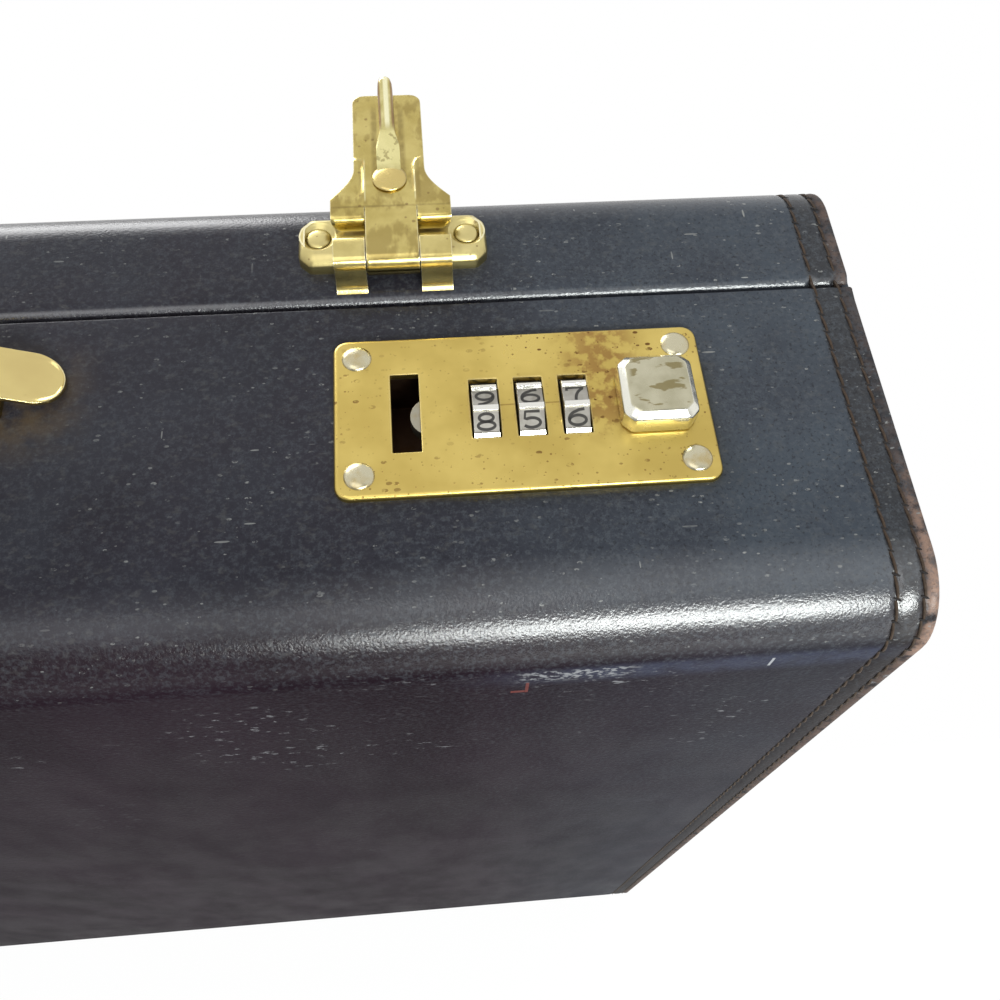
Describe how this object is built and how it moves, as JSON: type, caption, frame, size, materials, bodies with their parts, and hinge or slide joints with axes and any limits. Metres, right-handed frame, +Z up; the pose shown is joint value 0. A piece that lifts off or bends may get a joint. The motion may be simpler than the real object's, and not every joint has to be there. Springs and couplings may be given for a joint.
{
  "type": "briefcase",
  "caption": "Hard leather attaché case standing upright, with combination locks, open hasps, a swinging handle and a hinged lid.",
  "frame": {"origin": "centre of the overall box on the plane of the feet, case upright and lid closed", "axes": "+Z up, X along the width, -Y out of the base's large face, +Y towards the lid"},
  "size_m": [0.457, 0.1054, 0.3612],
  "materials": {
    "leather": "smooth black leather with a soft gloss",
    "board": "plain plywood",
    "lining": "brown suede cloth",
    "brass": "worn polished brass",
    "nickel": "worn nickel plate",
    "steel": "plain steel"
  },
  "bodies": {
    "base": {"base_panel": "board", "base_top_rail": "board", "base_bottom_rail": "board", "base_end_board_left": "board", "base_end_board_right": "board", "base_wrap_leather": "leather", "base_end_leather_left": "leather", "base_end_leather_right": "leather", "base_lining": "lining", "base_rim_lip": "lining", "feet": "brass", "hinge_base_leaves": "brass", "hinge_pins": "steel", "hinge_base_rivets": "nickel", "handle_mount_left": "brass", "handle_mount_right": "brass", "handle_pivot_pins": "steel", "handle_mount_rivets": "nickel", "lock_plate_left": "brass", "lock_plate_right": "brass", "lock_case_left": "steel", "lock_case_right": "steel", "lock_plate_rivets": "nickel", "dial_axles": "steel", "bolt_springs": "steel"},
    "lid": {"lid_panel": "board", "lid_top_rail": "board", "lid_bottom_rail": "board", "lid_end_board_left": "board", "lid_end_board_right": "board", "lid_wrap_leather": "leather", "lid_end_leather_left": "leather", "lid_end_leather_right": "leather", "lid_lining": "lining", "lid_pocket": "lining", "hinge_lid_leaves": "brass", "hinge_lid_rivets": "nickel", "hasp_base_left": "brass", "hasp_base_right": "brass", "hasp_base_rivets": "nickel", "hasp_pins": "steel"},
    "handle": {"handle_core": "steel", "handle_grip": "leather", "handle_end_fittings": "brass"},
    "hasp_left": {"hasp_leaf_left": "brass", "hasp_hook_left": "nickel"},
    "slide_left": {"release_button_left": "nickel", "slide_bar_left": "nickel"},
    "dial_1_left": {"dial_1_left": "nickel"},
    "dial_2_left": {"dial_2_left": "nickel"},
    "dial_3_left": {"dial_3_left": "nickel"},
    "hasp_right": {"hasp_leaf_right": "brass", "hasp_hook_right": "nickel"},
    "slide_right": {"release_button_right": "nickel", "slide_bar_right": "nickel"},
    "dial_1_right": {"dial_1_right": "nickel"},
    "dial_2_right": {"dial_2_right": "nickel"},
    "dial_3_right": {"dial_3_right": "nickel"}
  },
  "joints": [
    {"name": "lid_hinge", "type": "hinge", "parent": "base", "child": "lid", "pos_m": [0, 0.0097, 0.0035], "axis": [-1, 0, 0], "range_deg": [0, 100]},
    {"name": "handle_swing", "type": "hinge", "parent": "base", "child": "handle", "pos_m": [0, -0.0033, 0.3501], "axis": [-1, 0, 0], "range_deg": [0, 105]},
    {"name": "hasp_left_swing", "type": "hinge", "parent": "lid", "child": "hasp_left", "pos_m": [-0.14935, 0.0165, 0.3476], "axis": [1, 0, 0], "range_deg": [0, 174.5]},
    {"name": "release_left_slide", "type": "slide", "parent": "base", "child": "slide_left", "axis": [-1, 0, 0], "range_m": [0, 0.003], "stiffness_N_per_m": 150},
    {"name": "dial_1_left_turn", "type": "hinge", "parent": "base", "child": "dial_1_left", "pos_m": [-0.16267, -0.0126, 0.3398], "axis": [1, 0, 0], "continuous": true},
    {"name": "dial_2_left_turn", "type": "hinge", "parent": "base", "child": "dial_2_left", "pos_m": [-0.16987, -0.0126, 0.3398], "axis": [1, 0, 0], "continuous": true},
    {"name": "dial_3_left_turn", "type": "hinge", "parent": "base", "child": "dial_3_left", "pos_m": [-0.17708, -0.0126, 0.3398], "axis": [1, 0, 0], "continuous": true},
    {"name": "hasp_right_swing", "type": "hinge", "parent": "lid", "child": "hasp_right", "pos_m": [0.14935, 0.0165, 0.3476], "axis": [1, 0, 0], "range_deg": [0, 174.5]},
    {"name": "release_right_slide", "type": "slide", "parent": "base", "child": "slide_right", "axis": [1, 0, 0], "range_m": [0, 0.003], "stiffness_N_per_m": 150},
    {"name": "dial_1_right_turn", "type": "hinge", "parent": "base", "child": "dial_1_right", "pos_m": [0.16267, -0.0126, 0.3398], "axis": [1, 0, 0], "continuous": true},
    {"name": "dial_2_right_turn", "type": "hinge", "parent": "base", "child": "dial_2_right", "pos_m": [0.16987, -0.0126, 0.3398], "axis": [1, 0, 0], "continuous": true},
    {"name": "dial_3_right_turn", "type": "hinge", "parent": "base", "child": "dial_3_right", "pos_m": [0.17708, -0.0126, 0.3398], "axis": [1, 0, 0], "continuous": true}
  ]
}
